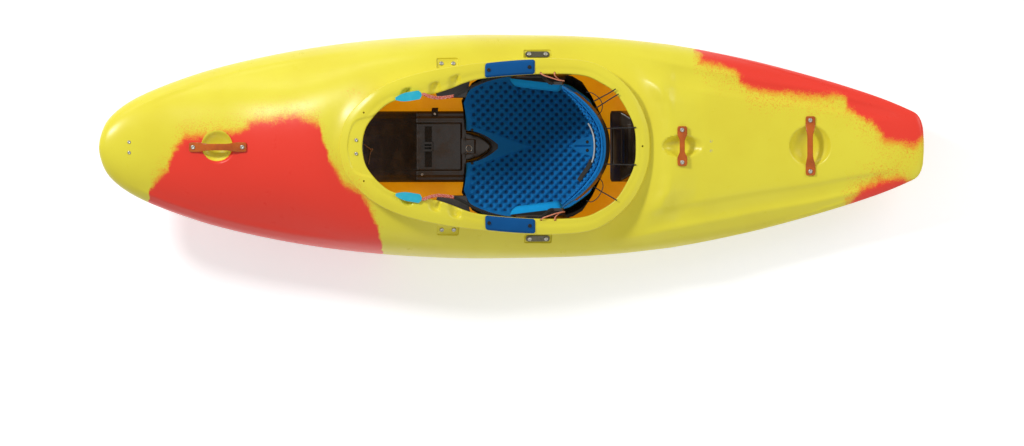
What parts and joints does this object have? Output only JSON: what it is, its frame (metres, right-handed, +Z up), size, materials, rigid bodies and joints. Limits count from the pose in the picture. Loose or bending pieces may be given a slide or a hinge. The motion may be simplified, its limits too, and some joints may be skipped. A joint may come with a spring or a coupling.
{
  "type": "whitewater kayak",
  "caption": "Short whitewater kayak with a rockered moulded shell, undercut keyhole coaming, padded seat, backband, footrest and hand holds.",
  "frame": {"origin": "on the floor under the middle of the length, on the centre line", "axes": "+X towards the stern, +Y towards the right-hand side of a seated paddler, +Z up"},
  "size_m": [2.6, 0.706, 0.462],
  "materials": {
    "yellow_shell": "satin rotomoulded polyethylene with a red-orange sprayed patch",
    "black_plastic": "matte, lightly grained",
    "blue_foam": "matte closed-cell foam",
    "blue_rubber": "matte rubber",
    "orange_metal": "anodised, satin",
    "steel": "satin",
    "grey_plate": "satin",
    "turquoise_tab": "satin",
    "red_cord": "braided",
    "peach_cord": "braided",
    "black_cord": "braided elastic",
    "black_webbing": "woven"
  },
  "bodies": {
    "hull": {"hull_shell": "yellow_shell", "front_pillar": "black_plastic", "rear_pillar": "black_plastic", "strap_buckle": "black_plastic", "hanger_bracket_left": "black_plastic", "hanger_bracket_right": "black_plastic", "footrest_track_left": "black_plastic", "footrest_track_right": "black_plastic", "rim_pad_left": "blue_rubber", "rim_pad_right": "blue_rubber", "bow_handle": "orange_metal", "stern_handle": "orange_metal", "security_bar": "orange_metal", "hanger_plate_left": "grey_plate", "hanger_plate_right": "grey_plate", "backband_cord_left": "peach_cord", "backband_cord_right": "peach_cord", "tray_strap": "black_webbing", "bow_handle_bolt_front": "steel", "bow_handle_bolt_rear": "steel", "stern_handle_bolt_left": "steel", "stern_handle_bolt_right": "steel", "security_bar_bolt_left": "steel", "security_bar_bolt_right": "steel", "bow_deck_bolt_left": "steel", "bow_deck_bolt_right": "steel", "rear_deck_bolt_left": "steel", "rear_deck_bolt_right": "steel", "rim_bolt_left": "steel", "rim_bolt_right": "steel", "thigh_bolt_left_front": "steel", "thigh_bolt_left_rear": "steel", "thigh_bolt_right_front": "steel", "thigh_bolt_right_rear": "steel", "hanger_bolt_left_front": "steel", "hanger_bolt_left_rear": "steel", "hanger_bolt_right_front": "steel", "hanger_bolt_right_rear": "steel", "track_bolt_left_front": "steel", "track_bolt_left_rear": "steel", "track_bolt_right_front": "steel", "track_bolt_right_rear": "steel"},
    "seat": {"seat_pan": "black_plastic", "seat_pad": "blue_foam", "hip_pad_left": "blue_foam", "hip_pad_right": "blue_foam"},
    "footrest": {"footrest_plate": "black_plastic", "footrest_pad": "blue_foam"},
    "thigh_grip_left": {"thigh_grip_left": "black_plastic"},
    "thigh_grip_right": {"thigh_grip_right": "black_plastic"},
    "band_ends": {"band_end_left": "black_plastic", "band_end_right": "black_plastic", "rear_elastic_left": "black_cord", "rear_elastic_right": "black_cord"},
    "backband": {"backband_shell": "black_plastic", "backband_pad": "blue_foam"},
    "pull_left": {"pull_tab_left": "turquoise_tab", "pull_cord_left": "red_cord"},
    "pull_right": {"pull_tab_right": "turquoise_tab", "pull_cord_right": "red_cord"}
  },
  "joints": [
    {"name": "seat_slide", "type": "slide", "parent": "hull", "child": "seat", "axis": [1, 0, 0], "range_m": [-0.02, 0.02]},
    {"name": "footrest_slide", "type": "slide", "parent": "hull", "child": "footrest", "axis": [1, 0, 0], "range_m": [-0.06, 0.05]},
    {"name": "thigh_grip_left_slide", "type": "slide", "parent": "hull", "child": "thigh_grip_left", "axis": [0.9721, 0, -0.2344], "range_m": [-0.015, 0.015]},
    {"name": "thigh_grip_right_slide", "type": "slide", "parent": "hull", "child": "thigh_grip_right", "axis": [0.9721, 0, -0.2344], "range_m": [-0.015, 0.015]},
    {"name": "backband_adjust", "type": "slide", "parent": "hull", "child": "band_ends", "axis": [-0.9285, 0, 0.3712], "range_m": [0, 0.05], "deforming": ["backband_cord_left", "backband_cord_right"]},
    {"name": "pull_left", "type": "slide", "parent": "hull", "child": "pull_left", "axis": [-0.9285, 0, 0.3712], "range_m": [0, 0.05]},
    {"name": "pull_right", "type": "slide", "parent": "hull", "child": "pull_right", "axis": [-0.9285, 0, 0.3712], "range_m": [0, 0.05]},
    {"name": "backband_fold", "type": "hinge", "parent": "band_ends", "child": "backband", "pos_m": [0.158, 0, 0.2744], "axis": [0, -1, 0], "range_deg": [0, 45], "stiffness_Nm_per_rad": 0.8, "deforming": ["rear_elastic_left", "rear_elastic_right"]}
  ],
  "couplings": [
    {"joint": "pull_left", "follows": "backband_adjust", "ratio": 1},
    {"joint": "pull_right", "follows": "backband_adjust", "ratio": 1}
  ]
}
